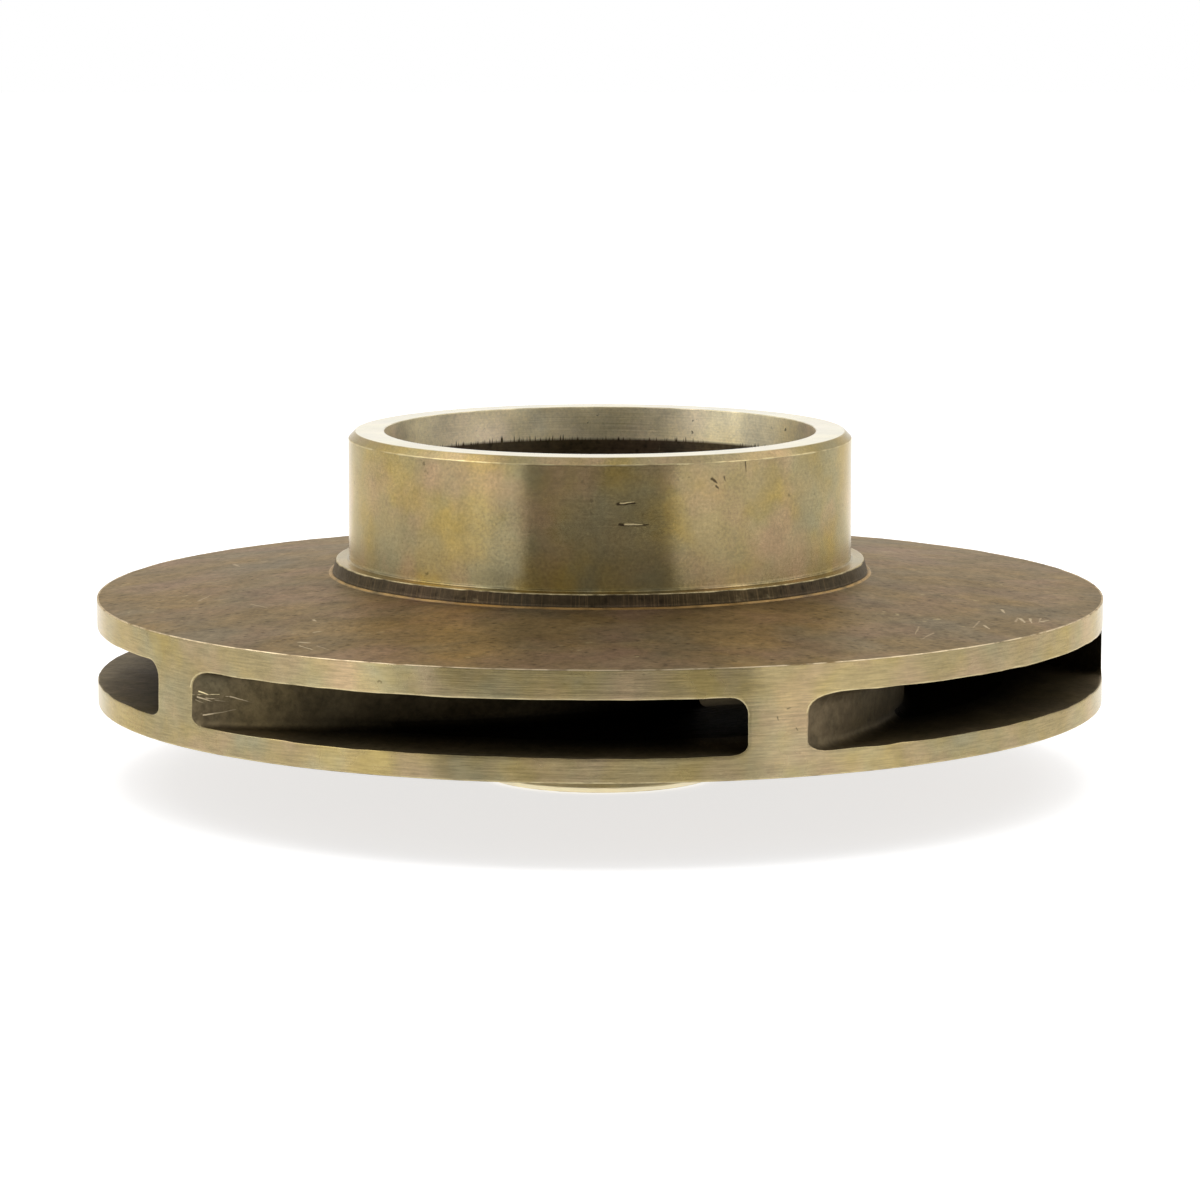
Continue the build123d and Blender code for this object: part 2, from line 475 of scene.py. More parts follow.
# Floor points between the two distances get an edge value below 0, and floor faces there get a finish of
# their own: painted shade that keeps the floor dark.
loops = []
for index, distance in enumerate(stations):
    floor_shade = -floor_shade_share(distance)
    loop = []
    for column, (angle, height) in enumerate(outline(distance)):
        edge = MOUTH_WEAR if index == 0 else floor_shade if column < COLUMNS else 0.0
        loop.append(add_point(distance, angle, height, edge, 1.0))
    loops.append(loop)
for outer, inner in ((edge_outer, edge_middle), (edge_middle, loops[0])):
    skin(outer + outer[:1], inner + inner[:1], TURNED)
for distance, outer, inner in zip(stations, loops, loops[1:]):
    floor_finish = SHADED_FLOOR if FLOOR_SHADE_START < distance < FLOOR_SHADE_END else PASSAGE
    skin(outer[:COLUMNS], inner[:COLUMNS], floor_finish)
    skin(outer[COLUMNS - 1 :] + outer[:1], inner[COLUMNS - 1 :] + inner[:1], PASSAGE)
print(f"{len(points)} points in the passage, {len(faces)} faces")

# %% [markdown]
# ## The turned band and the land
#
# The band round the rim is the face that the slots are cut into. Under and over a slot, its
# rows run between the slot's edge and the rim's corners. The land between two slots is the
# end of a vane, and its rows join the two slots' ends. The last column of the land lies
# where the next sector's first one does, so that the five sectors close into a ring.

# %% The land between two slots
LAND_SHARES = (0.05, 0.25, 0.5, 0.75, 0.95, 1.0)
far_corner = COLUMNS - 1
far_top = COLUMNS + WALL_LEVELS - 1
near_top = far_top + COLUMNS - 1
left_chain = edge_outer[far_corner : far_top + 1]
right_chain = edge_outer[:1] + edge_outer[near_top:][::-1]


def height_of(point):
    """Height of a point in millimetres."""
    return points[point][2] / MM


def land_row(left, right):
    """One row over the land, from a slot's far end to the near end of the next slot."""
    row = [left]
    for share in LAND_SHARES:
        angle = part_way(bearings[left], bearings[right] + pitch, share)
        height = part_way(height_of(left), height_of(right), share)
        at_edge = 1.0 if share == 1.0 else 0.0
        row.append(add_point(rim_radius, angle, height, at_edge, at_edge * EDGE_RELIEF, at_edge))
    return row


land_rows = [land_row(left, right) for left, right in zip(left_chain, right_chain)]
for lower, upper in zip(land_rows, land_rows[1:]):
    skin(lower, upper, TURNED)
slot_floor_row = edge_outer[:COLUMNS] + land_rows[0][1:]
slot_ceiling_row = edge_outer[far_top : near_top + 1][::-1] + land_rows[-1][1:]
floor_angles = [bearings[point] for point in slot_floor_row]
ceiling_angles = [bearings[point] for point in slot_ceiling_row]
print(f"{len(slot_floor_row)} columns round a sector's rim")


# %% The bands under and over the slot
def band(row_from, row_to, shares):
    """Rows on the rim between two rows, at shares of the way from the first to the second."""
    last = row_from
    for share in shares:
        new = []
        for a, b in zip(row_from, row_to):
            angle = part_way(bearings[a], bearings[b], share)
            new.append(add_point(rim_radius, angle, part_way(height_of(a), height_of(b), share)))
        skin(last, new, TURNED)
        last = new
    skin(last, row_to, TURNED)


# %% The underside, from the hub's end to the rim
SEAM_RADIUS = 16.0
SEAM_COLUMNS = 24
SEAM_STEP = 1.2
CORNER_ROUND = 0.15
RIM_GAP = 1.4
seam_angles = [tip_leading + pitch * step / SEAM_COLUMNS for step in range(SEAM_COLUMNS + 1)]
underside = section([
    (SEAM_RADIUS + SEAM_STEP, 0, 0, FACED),
    (hub_radius - hub_chamfer, 0, CORNER_ROUND, FACED),
    (hub_radius, hub_chamfer, CORNER_ROUND, TURNED),
    (hub_radius, hub_back_length, hub_root_fillet, SKIN),
    (rim_radius, hub_back_length, EDGE_ROUND, TURNED),
    (rim_radius, hub_back_length + RIM_GAP, 0, TURNED),
])
seam = [add_point(SEAM_RADIUS, angle, 0) for angle in seam_angles]
first_row = [add_point(underside[0][0], angle, 0) for angle in floor_angles]
zip_rows(seam, first_row, FACED)
rim_foot_row = turn_section(first_row, underside, floor_angles)
band(rim_foot_row, slot_floor_row, (0.4, 0.8))

# %% The top side, from the rim to the ring's end face
RIM_BURR = 0.07


def on_cone(radius, finish):
    """A place on the front shroud's outer face, for a section."""
    return radius, rim_top + (rim_radius - radius) * front_slope, 0, finish


topside = section([
    (rim_radius, rim_top - RIM_GAP, 0, TURNED),
    (rim_radius, rim_top - 0.3, 0, TURNED),
    (rim_radius, rim_top - 0.08, 0, BURR),
    (rim_radius - 0.02, rim_top + RIM_BURR, 0, BURR),
    (rim_radius - 0.2, rim_top + RIM_BURR, 0, BURR),
    on_cone(rim_radius - 0.32, SKIN),
    on_cone(rim_radius - 0.7, SKIN),
    on_cone(shoulder_foot_radius + 1.1, SKIN),
    on_cone(shoulder_foot_radius + 0.6, BURR),
    (shoulder_foot_radius + 0.42, shoulder_foot + 0.22, 0, BURR),
    (shoulder_foot_radius + 0.12, shoulder_foot + 0.26, 0, BURR),
    (shoulder_foot_radius - 0.03, shoulder_foot + 0.1, 0, SHOULDER),
    (ring_radius + shoulder_width, shoulder_top, EDGE_ROUND, RING),
    (ring_radius, shoulder_top, 0.3, RING),
    (ring_radius, top_height - ring_chamfer, CORNER_ROUND, RING),
    (ring_radius - ring_chamfer, top_height, CORNER_ROUND, FACED),
    (ring_radius - ring_chamfer - 1.0, top_height, 0, FACED),
])
rim_head_row = [add_point(rim_radius, angle, topside[0][1]) for angle in ceiling_angles]
band(slot_ceiling_row, rim_head_row, (0.15, 0.55))
ring_end_row = turn_section(rim_head_row, topside, ceiling_angles)

# %% The eye, from the ring's end face down to the vanes' noses
inlet_angles = [inlet_bearing + share * pitch for share in fractions]
eye_angles = [angle - pitch for angle in inlet_angles]
eye_section = section([
    (topside[-1][0], top_height, 0, FACED),
    (eye_radius, top_height, EDGE_ROUND, EYE),
    (eye_radius, eye_turned, 0, EYE),
    (throat_end.x, throat_end.y, 0, EYE),
])
edge_start = eye_radius + EDGE_ROUND + GUARD
while eye_section[0][0] > edge_start + 0.01:  # the end face's quads give way to one zipped strip
    eye_section.pop(0)
eye_top_row = [add_point(eye_section[0][0], angle, top_height) for angle in eye_angles]
zip_rows(ring_end_row, eye_top_row, FACED)
last_row = turn_section(eye_top_row, eye_section, eye_angles)
THROAT_STEPS = 5
for step in range(1, THROAT_STEPS + 1):
    radius = part_way(throat_end.x, nose_end_radius, (step / THROAT_STEPS) ** 2)
    new_row = [add_point(radius, angle, ceiling_at(radius, angle), relief=1.0) for angle in eye_angles]
    skin(last_row, new_row, EYE)
    last_row = new_row

# %% The floor in the eye and the hub's nose
nose_section = section([
    (nose_end_radius, floor_height, 0, PASSAGE),
    (nose_foot_radius, floor_height, nose_root_radius, PASSAGE),
    (nose_radius, nose_height - nose_chamfer, CORNER_ROUND, TURNED),
    (nose_radius - nose_chamfer, nose_height, CORNER_ROUND, FACED),
    (SEAM_RADIUS, nose_height, 0, FACED),
])


def foot_rise(radius, angle):
    """How far the fillet at a vane's foot stands up from the floor."""
    return floor_at(radius, angle) - floor_height


last_row = turn_section(loops[-1][:COLUMNS], nose_section[:-1], inlet_angles, foot_rise)
nose_seam = [add_point(SEAM_RADIUS, angle + pitch, nose_height) for angle in seam_angles]
zip_rows(last_row, nose_seam, FACED)
print(f"sector: {len(points)} points, {len(faces)} faces")

# %% [markdown]
# ## The shaft's hole
#
# The bore with its keyway doesn't repeat round the shaft, so it is a second small mesh. Its
# outline in plan is a circle that steps out into the keyway on +X. Rows of that outline go
# up the hole, a little wider at both ends for the chamfers, and the two end faces join it
# to the same seam circles that the sectors end on.

# %% The bore's outline at one height
BORE_COLUMNS = SEAM_COLUMNS * vane_count
KEYWAY_STEPS = 4
sector_data = (points, bearings, wear_and_shade_values, uneven, held, faces, finishes)
points, bearings, wear_and_shade_values, uneven, held, faces, finishes = [], [], [], [], [], [], []


def hole_outline(radius):
    """The hole's outline as (radius, angle), anticlockwise from -X."""
    side = math.asin(keyway_half_width / radius)
    half = math.pi - side
    steps = round(BORE_COLUMNS * half / (2 * math.pi))
    below = [(radius, -math.pi + half * step / steps) for step in range(steps + 1)]
    foot_x = radius * math.cos(side)
    walls = [foot_x + (keyway_reach - foot_x) * step / KEYWAY_STEPS for step in range(1, KEYWAY_STEPS + 1)]
    wall = [(math.hypot(x, keyway_half_width), -math.atan2(keyway_half_width, x)) for x in walls]
    across = [keyway_half_width * (2 * step / KEYWAY_STEPS - 1) for step in range(1, KEYWAY_STEPS)]
    flat = [(math.hypot(keyway_reach, y), math.atan2(y, keyway_reach)) for y in across]
    mirrored = [(distance, -angle) for distance, angle in reversed(below + wall)]
    return below + wall + flat + mirrored


# %% The hole's rows and its two end faces
hole_section = section([
    (bore_radius + bore_chamfer, 0, 0, BORE),
    (bore_radius, bore_chamfer, CORNER_ROUND, BORE),
    (bore_radius, nose_height - bore_chamfer, CORNER_ROUND, BORE),
    (bore_radius + bore_chamfer, nose_height, 0, BORE),
])
hole_rows = [
    [add_point(distance, angle, height, abs(edge)) for distance, angle in hole_outline(radius)]
    for radius, height, edge, _ in hole_section
]
for lower, upper in zip(hole_rows, hole_rows[1:]):
    skin(lower, upper, BORE)
print(f"hole: {len(points)} points, {len(faces)} faces")

SEAM_START = tip_leading + first_tip
for row, height in ((hole_rows[0], 0.0), (hole_rows[-1], nose_height)):
    first = math.ceil((-math.pi - SEAM_START) / (pitch / SEAM_COLUMNS) - 0.5)
    circle = [
        add_point(SEAM_RADIUS, SEAM_START + (first + step) * pitch / SEAM_COLUMNS, height)
        for step in range(BORE_COLUMNS + 1)
    ]
    zip_rows(row, circle, FACED)

# %% Make both meshes
def mesh_of(name):
    """Turns the containers into a mesh that carries the points' and faces' values."""
    mesh = bpy.data.meshes.new(name)
    mesh.from_pydata(points, [], faces)
    for label, values in (("edge", wear_and_shade_values), ("relief", uneven), ("hold", held)):
        mesh.attributes.new(label, "FLOAT", "POINT").data.foreach_set("value", values)
    mesh.attributes.new("finish", "INT", "FACE").data.foreach_set("value", finishes)
    return mesh


def link(piece):
    """Puts an object into the scene and gives it back."""
    bpy.context.scene.collection.objects.link(piece)
    return piece


hole_mesh = mesh_of("hole")
points, bearings, wear_and_shade_values, uneven, held, faces, finishes = sector_data
impeller = link(bpy.data.objects.new("impeller_casting", mesh_of("sector")))
print(f"sector mesh {len(impeller.data.polygons)} faces, hole mesh {len(hole_mesh.polygons)} faces")

# %% [markdown]
# ## Five sectors make a ring
#
# The repeat is a Geometry Nodes tree with four inputs beside the sector: how many sectors
# there are, the first one's angle, and how far and how finely the sand moves the surface.
# One point stands for each sector, all on the shaft's axis, and each carries an instance
# turned by its share of a turn. Realized and merged by distance, they are one ring, open
# only round the hole. The sand's unevenness comes after that, so that it doesn't repeat:
# a noise field moves each point by as much as its relief value allows, and points on the
# turned band slide along it without leaving it.

# %% Names of the finishes
FINISH_NAMES = {
    TURNED: "turned_bronze",
    RING: "ring_bronze",
    FACED: "faced_bronze",
    SKIN: "cast_skin",
    PASSAGE: "cast_passage",
    EYE: "eye_bronze",
    SHOULDER: "shoulder_skin",
    BORE: "bored_bronze",
    BURR: "burr_bronze",
    SHADED_FLOOR: "fouled_passage",
}
finish_materials = {number: bpy.data.materials.new(name) for number, name in FINISH_NAMES.items()}
impeller.data.materials.append(finish_materials[TURNED])


# %% Short calls for node trees
class Tree:
    """A node tree with short calls for adding and wiring nodes."""

    def __init__(self, tree):
        self.tree = tree

    def feed(self, socket, value):
        """Links a value that is a socket, and writes one that is a number or a colour."""
        if isinstance(value, bpy.types.NodeSocket):
            self.tree.links.new(value, socket)
        else:
            socket.default_value = value

    def wire(self, node, **inputs):
        """Feeds a node's inputs, given by name or as _ and a number."""
        for key, value in inputs.items():
            name = int(key[1:]) if key[1:].isdigit() else key.replace("_", " ")
            self.feed(node.inputs[name], value)
        return node

    def node(self, kind, settings=None, **inputs):
        """Adds a node, sets its properties and feeds its inputs."""
        made = self.tree.nodes.new(kind)
        for key, value in (settings or {}).items():
            setattr(made, key, value)
        return self.wire(made, **inputs)

    def math(self, operation, a, b=0.0, c=0.0):
        """Result of a Math node."""
        return self.node("ShaderNodeMath", {"operation": operation}, _0=a, _1=b, _2=c).outputs[0]

    def times(self, a, b):
        """Product of two values."""
        return self.math("MULTIPLY", a, b)

    def minus(self, a, b):
        """Difference of two values."""
        return self.math("SUBTRACT", a, b)

    def ramp(self, value, low, high, to_low=0.0, to_high=1.0):
        """A value stretched from one range to another, and held at its ends."""
        made = self.node("ShaderNodeMapRange", _0=value, _1=low, _2=high, _3=to_low, _4=to_high)
        return made.outputs[0]

    def mixed(self, factor, a, b):
        """Colour between a and b."""
        return self.node("ShaderNodeMix", {"data_type": "RGBA"}, _0=factor, _6=a, _7=b).outputs[2]

    def vector(self, operation, a, b=(0.0, 0.0, 0.0)):
        """Result of a Vector Math node: a number for a length or a dot product."""
        made = self.node("ShaderNodeVectorMath", {"operation": operation}, _0=a, _1=b)
        return made.outputs["Value" if operation in ("LENGTH", "DOT_PRODUCT") else "Vector"]

    def scaled(self, vector, factor):
        """A vector times a number."""
        made = self.node("ShaderNodeVectorMath", {"operation": "SCALE"}, _0=vector, Scale=factor)
        return made.outputs["Vector"]

    def attribute(self, name, kind="FLOAT"):
        """A value that rides on the mesh, for Geometry Nodes."""
        return self.node("GeometryNodeInputNamedAttribute", {"data_type": kind}, Name=name).outputs[0]


# %% The tree that repeats and roughens the sector, and gives the finishes
def repeat_tree():
    """Geometry Nodes group that makes the casting from one sector."""
    group = bpy.data.node_groups.new("repeat_round_shaft", "GeometryNodeTree")
    given_kinds = {"Geometry": "Geometry", "Sectors": "Int"}
    given_kinds |= dict.fromkeys(("First Angle", "Unevenness", "Grain Scale"), "Float")
    for label, kind in given_kinds.items():
        group.interface.new_socket(label, in_out="INPUT", socket_type="NodeSocket" + kind)
    group.interface.new_socket("Geometry", in_out="OUTPUT", socket_type="NodeSocketGeometry")
    tree = Tree(group)
    given = group.nodes.new("NodeGroupInput").outputs

    step = tree.math("DIVIDE", 2 * math.pi, given["Sectors"])
    index = tree.node("GeometryNodeInputIndex").outputs[0]
    turn = tree.math("MULTIPLY_ADD", index, step, given["First Angle"])
    rotation = tree.node("ShaderNodeCombineXYZ", Z=turn).outputs[0]
    one_each = tree.node("GeometryNodePoints", Count=given["Sectors"]).outputs[0]
    placing = {"Points": one_each, "Instance": given["Geometry"], "Rotation": rotation}
    turned = tree.node("GeometryNodeInstanceOnPoints", **placing).outputs[0]
    ring = tree.node("GeometryNodeRealizeInstances", Geometry=turned).outputs[0]
    merged = tree.node("GeometryNodeMergeByDistance", Geometry=ring, Distance=MERGE_DISTANCE).outputs[0]

    place = tree.node("GeometryNodeInputPosition").outputs[0]
    noise = tree.node("ShaderNodeTexNoise", Vector=place, Scale=given["Grain Scale"], Detail=2.0)
    push = tree.vector("SUBTRACT", noise.outputs["Color"], (0.5, 0.5, 0.5))
    push = tree.scaled(push, tree.times(tree.attribute("relief"), given["Unevenness"]))
    outwards = tree.vector("NORMALIZE", tree.vector("MULTIPLY", place, (1.0, 1.0, 0.0)))
    radial = tree.vector("DOT_PRODUCT", push, outwards)
    along_radius = tree.scaled(outwards, tree.times(radial, tree.attribute("hold")))
    offset = tree.vector("SUBTRACT", push, along_radius)
    shifted = tree.node("GeometryNodeSetPosition", Geometry=merged, Offset=offset).outputs[0]
    result = tree.node("GeometryNodeSetShadeSmooth", Geometry=shifted).outputs[0]
    finish = tree.attribute("finish", "INT")
    equal = {"data_type": "INT", "operation": "EQUAL"}
    for number, material in finish_materials.items():
        chosen = tree.node("FunctionNodeCompare", equal, _2=finish, _3=number).outputs[0]
        painted = tree.node("GeometryNodeSetMaterial", Geometry=result, Selection=chosen, Material=material)
        result = painted.outputs[0]
    tree.feed(group.nodes.new("NodeGroupOutput").inputs[0], result)
    return group


# %% Run the tree and keep its result as a plain mesh
MERGE_DISTANCE = 2e-6
UNEVENNESS = 0.0006
GRAIN_SCALE = 170.0


def applied(piece, group, values):
    """Mesh that a node group makes of a piece, with its inputs set by identifier."""
    modifier = piece.modifiers.new("repeat", "NODES")
    modifier.node_group = group
    for item in group.interface.items_tree:
        if item.in_out == "INPUT" and item.name in values:
            modifier[item.identifier] = values[item.name]
    evaluated = piece.evaluated_get(bpy.context.evaluated_depsgraph_get())
    result = bpy.data.meshes.new_from_object(evaluated)
    piece.modifiers.remove(modifier)
    return result


ring_mesh = applied(
    impeller,
    repeat_tree(),
    {"Sectors": vane_count, "First Angle": first_tip, "Unevenness": UNEVENNESS, "Grain Scale": GRAIN_SCALE},
)
print(f"ring {len(ring_mesh.polygons)} faces, materials {[m.name for m in ring_mesh.materials]}")

# %% Join the hole to the ring and close the casting
casting_mesh = bmesh.new()
casting_mesh.from_mesh(ring_mesh)
ring_faces = len(casting_mesh.faces)
casting_mesh.from_mesh(hole_mesh)
casting_mesh.faces.ensure_lookup_table()
hole_finish = casting_mesh.faces.layers.int["finish"]
for face in casting_mesh.faces[ring_faces:]:
    face.material_index = ring_mesh.materials.find(FINISH_NAMES[face[hole_finish]])
    face.smooth = True
bmesh.ops.remove_doubles(casting_mesh, verts=casting_mesh.verts, dist=MERGE_DISTANCE)
bmesh.ops.recalc_face_normals(casting_mesh, faces=casting_mesh.faces)
open_edges = sum(1 for edge in casting_mesh.edges if len(edge.link_faces) != 2)
casting_mesh.to_mesh(ring_mesh)
print(f"volume {casting_mesh.calc_volume() * 1e6:.1f} cm3, edges without two faces: {open_edges}")
casting_mesh.free()
impeller.data = ring_mesh
ring_mesh.calc_loop_triangles()
print(f"{len(ring_mesh.polygons)} faces, {len(ring_mesh.loop_triangles)} triangles")

# %% [markdown]
# ## Finishes from shared effects
#
# A few effects make all the finishes: fine lines from the lathe, patches of tarnish, the
# grain that sand leaves, strokes round the shaft, scratches with some painted shadows, and
# wear on the edges with painted shade in inner corners and on the passage floor. Each is a
# node group with named inputs, so a material only says how coarse and how strong it wants
# them. All of them read the piece's own coordinates, so nothing slides when the part turns.

# %% An empty group for a shared effect
SOCKET_KINDS = {float: "Float", tuple: "Color", Vector: "Vector"}


def new_group(name, inputs, outputs):
    """An empty shader group, from its inputs' defaults by name and its outputs' names."""
    group = bpy.data.node_groups.new(name, "ShaderNodeTree")
    for label, default in inputs.items():
        kind = "NodeSocket" + SOCKET_KINDS[type(default)]
        group.interface.new_socket(label, in_out="INPUT", socket_type=kind).default_value = default
    for label in outputs:
        kind = "NodeSocketColor" if label == "Color" else "NodeSocketFloat"
        group.interface.new_socket(label, in_out="OUTPUT", socket_type=kind)
    return Tree(group), group.nodes.new("NodeGroupInput").outputs


def closed(tree, **results):
    """Wires a group's outputs by name and gives the finished group."""
    tree.node("NodeGroupOutput", **results)
    return tree.tree


def object_place(tree):
    """A point's place in the piece's own coordinates."""
    return tree.node("ShaderNodeTexCoord").outputs["Object"]


def level_part(tree, place):
    """A place without its height, which is the way to it from the shaft."""
    return tree.vector("MULTIPLY", place, (1.0, 1.0, 0.0))


def noise_at(tree, place, scale, detail=2.0, roughness=0.5):
    """A noise between 0 and 1 at a place."""
    values = {"Vector": place, "Scale": scale, "Detail": detail, "Roughness": roughness}
    return tree.node("ShaderNodeTexNoise", **values).outputs[0]


# %% The lathe's lines
def turned_lines_group():
    """Fine rings round the shaft, on walls and on faces alike, and short dark streaks."""
    tree, given = new_group("turned_lines", {"Lines": 3000.0, "Sweep": 60.0}, ("Height", "Streak"))
    place = object_place(tree)
    flat = level_part(tree, place)
    height = tree.node("ShaderNodeSeparateXYZ", Vector=place).outputs["Z"]
    across = tree.times(tree.math("ADD", tree.vector("LENGTH", flat), height), given["Lines"])
    upright = tree.node("ShaderNodeCombineXYZ", Z=across).outputs[0]
    swept = tree.vector("ADD", tree.scaled(flat, given["Sweep"]), upright)
    fine = noise_at(tree, swept, 1.0, 3.0, 0.7)
    short = noise_at(tree, tree.vector("MULTIPLY", swept, (4.0, 4.0, 1.3)), 1.0, 3.0, 0.6)
    return closed(tree, Height=fine, Streak=tree.ramp(short, 0.40, 0.66))


turned_lines = turned_lines_group()

# %% Tarnish in patches
HUE_NAMES = ("Clean", "Golden", "Grey", "Pink")
BRONZE = (0.36, 0.29, 0.15, 1.0)
# each patch's shift, and the noise at which it starts and is full
PATCHES = {"Golden": (0.0, 0.42, 0.66), "Grey": (0.31, 0.44, 0.68), "Pink": (0.57, 0.48, 0.72)}
CLOUD_SHIFT = (0.83, 0.83, 0.83)
MOTTLE_SCALE, SPOT_SCALE, CLUSTER_SCALE = 1900.0, 800.0, 130.0
FRECKLE = (0.06, 0.045, 0.02, 1.0)


def tarnish_group():
    """Soft patches between four colours, lighter and darker clouds, a fine mottle, and a few
    dark freckles."""
    amounts = {"Scale": 90.0, "Clouds": 0.12, "Freckles": 0.5, "Mottle": 0.0}
    tree, given = new_group("tarnish", dict.fromkeys(HUE_NAMES, BRONZE) | amounts, ("Color", "Patch"))
    place = object_place(tree)
    colour = given["Clean"]
    masks = {}
    for name, (shift, low, high) in PATCHES.items():
        moved = tree.vector("ADD", place, (shift, shift, shift))
        masks[name] = tree.ramp(noise_at(tree, moved, given["Scale"], 3.0, 0.5), low, high)
        colour = tree.mixed(masks[name], colour, given[name])
    moved = tree.vector("ADD", place, CLOUD_SHIFT)
    clouds = tree.minus(noise_at(tree, moved, tree.times(given["Scale"], 1.8), 4.0), 0.5)
    gain = tree.math("MULTIPLY_ADD", clouds, tree.times(given["Clouds"], 4.0), 1.0)
    mottle = tree.minus(noise_at(tree, place, MOTTLE_SCALE, 4.0, 0.65), 0.5)
    gain = tree.math("MULTIPLY_ADD", mottle, given["Mottle"], gain)
    colour = tree.scaled(colour, gain)
    spots = tree.ramp(noise_at(tree, place, SPOT_SCALE), 0.69, 0.75)
    cluster = tree.ramp(noise_at(tree, place, CLUSTER_SCALE), 0.50, 0.64)
    freckle = tree.times(tree.times(spots, cluster), given["Freckles"])
    return closed(tree, Color=tree.mixed(freckle, colour, FRECKLE), Patch=masks["Golden"])


tarnish = tarnish_group()


# %% The sand's grain
def cast_grain_group():
    """Sandy bumps with pits between them, a tone that is dark in the pits, and rubbed flecks."""
    tree, given = new_group("cast_grain", {"Grain": 900.0, "Pits": 0.5}, ("Height", "Tone", "Flecks"))
    place, grain = object_place(tree), given["Grain"]
    sand = noise_at(tree, place, grain, 4.0, 0.65)
    lumps = noise_at(tree, place, tree.times(grain, 0.33))
    cells = tree.node("ShaderNodeTexVoronoi", Vector=place, Scale=tree.times(grain, 0.5))
    depth = tree.times(tree.ramp(cells.outputs["Distance"], 0.05, 0.3, 1.0, 0.0), given["Pits"])
    relief = tree.math("ADD", tree.times(sand, 0.6), tree.times(lumps, 0.4))
    specks = tree.ramp(noise_at(tree, place, tree.times(grain, 0.6), 3.0), 0.62, 0.74)
    patches = tree.ramp(noise_at(tree, place, 60.0, 3.0), 0.52, 0.66)
    tone = tree.minus(relief, tree.times(depth, 0.5))
    return closed(tree, Height=tree.minus(relief, depth), Tone=tone, Flecks=tree.times(specks, patches))


cast_grain = cast_grain_group()


# %% Wear along the edges, and painted shade in inner corners and on the passage floor
def edge_value(tree):
    """The points' edge value: above 0 for wear, below 0 for painted shade."""
    return tree.node("ShaderNodeAttribute", {"attribute_name": "edge"}).outputs["Fac"]


def edge_wear_and_shade_group():
    """Masks from the points' edge value, broken up by noise: rubbed edges, and painted shade in inner corners
    and on the passage floor.
    """
    tree, given = new_group("edge_wear", {"Break Up": 1.2, "Scale": 330.0}, ("Worn", "Dirt"))
    noise = noise_at(tree, object_place(tree), given["Scale"], 3.0)
    broken = tree.times(tree.minus(noise, 0.5), given["Break Up"])
    masks = []
    for sign, most in ((1.0, 1.0), (-1.0, 0.45)):
        signed = tree.times(edge_value(tree), sign)
        masks.append(tree.ramp(tree.math("ADD", signed, broken), 0.75, 1.1, 0.0, most))
    return closed(tree, Worn=masks[0], Dirt=masks[1])


edge_wear = edge_wear_and_shade_group()


# %% Strokes round the shaft
def strokes_group():
    """Narrow upright strokes at uneven distances round the shaft, and where they are strong."""
    tree, given = new_group("strokes", {"Count": 70.0}, ("Stroke", "Strength"))
    outwards = tree.vector("NORMALIZE", level_part(tree, object_place(tree)))
    stroke = tree.ramp(noise_at(tree, outwards, given["Count"], 1.0), 0.54, 0.66)
    return closed(tree, Stroke=stroke, Strength=tree.ramp(noise_at(tree, outwards, 4.0, 1.0), 0.35, 0.62))


strokes = strokes_group()


# %% Scratches, nicks and painted shadows
def scratch_group():
    """A mask for one line mark, a scratch, a nick or a scratch's painted shadow: 1 on the line between two
    places, with a wavering edge.
    """
    shape = {"Start": Vector((0.0, 0.0, 0.0)), "Along": Vector((0.001, 0.0, 0.0)), "Width": 0.0002}
    tree, given = new_group("scratch", shape, ("Mask",))
    place, along = object_place(tree), given["Along"]
    waver = tree.node("ShaderNodeTexNoise", Vector=place, Scale=700.0, Detail=2.0).outputs["Color"]
    shift = tree.vector("SUBTRACT", waver, (0.5, 0.5, 0.5))
    moved = tree.vector("ADD", place, tree.scaled(shift, tree.times(given["Width"], 1.6)))
    offset = tree.vector("SUBTRACT", moved, given["Start"])
    dots = [tree.vector("DOT_PRODUCT", vector, along) for vector in (offset, along)]
    share = tree.ramp(tree.math("DIVIDE", *dots), 0.0, 1.0)
    beside = tree.vector("SUBTRACT", offset, tree.scaled(along, share))
    tapered = tree.minus(1.0, tree.times(tree.times(share, share), 0.6))
    distance = tree.math("DIVIDE", tree.vector("LENGTH", beside), tree.times(given["Width"], tapered))
    return closed(tree, Mask=tree.ramp(distance, 0.4, 1.0, 1.0, 0.0))


scratch = scratch_group()


# %% Materials start with a shader and may take scratches and painted shadows
def bare_tree(owner):
    """The emptied node tree of a material or a world."""
    owner.use_nodes = True
    owner.node_tree.nodes.clear()
    return Tree(owner.node_tree)


def shader_tree(number):
    """A finish's tree with its surface shader, ready for wiring."""
    tree = bare_tree(finish_materials[number])
    shader = tree.node("ShaderNodeBsdfPrincipled")
    tree.node("ShaderNodeOutputMaterial", Surface=shader.outputs[0])
    return tree, shader


def placed(tree, group, **values):
    """A shared effect in a material, with its own values."""
    return tree.node("ShaderNodeGroup", {"node_tree": group}, **values).outputs


def round_shaft(radius, degrees, height):
    """A place in metres from millimetres from the shaft, a bearing and a height."""
    angle = math.radians(degrees)
    return Vector((radius * math.cos(angle), radius * math.sin(angle), height)) * MM


# %% Wear and painted shade over a colour
RUBBED = (0.50, 0.42, 0.24, 1.0)
# The second colour here is painted shade, for inner corners and the passage floor.
PAINTED_SHADE = (0.03, 0.02, 0.01, 1.0)


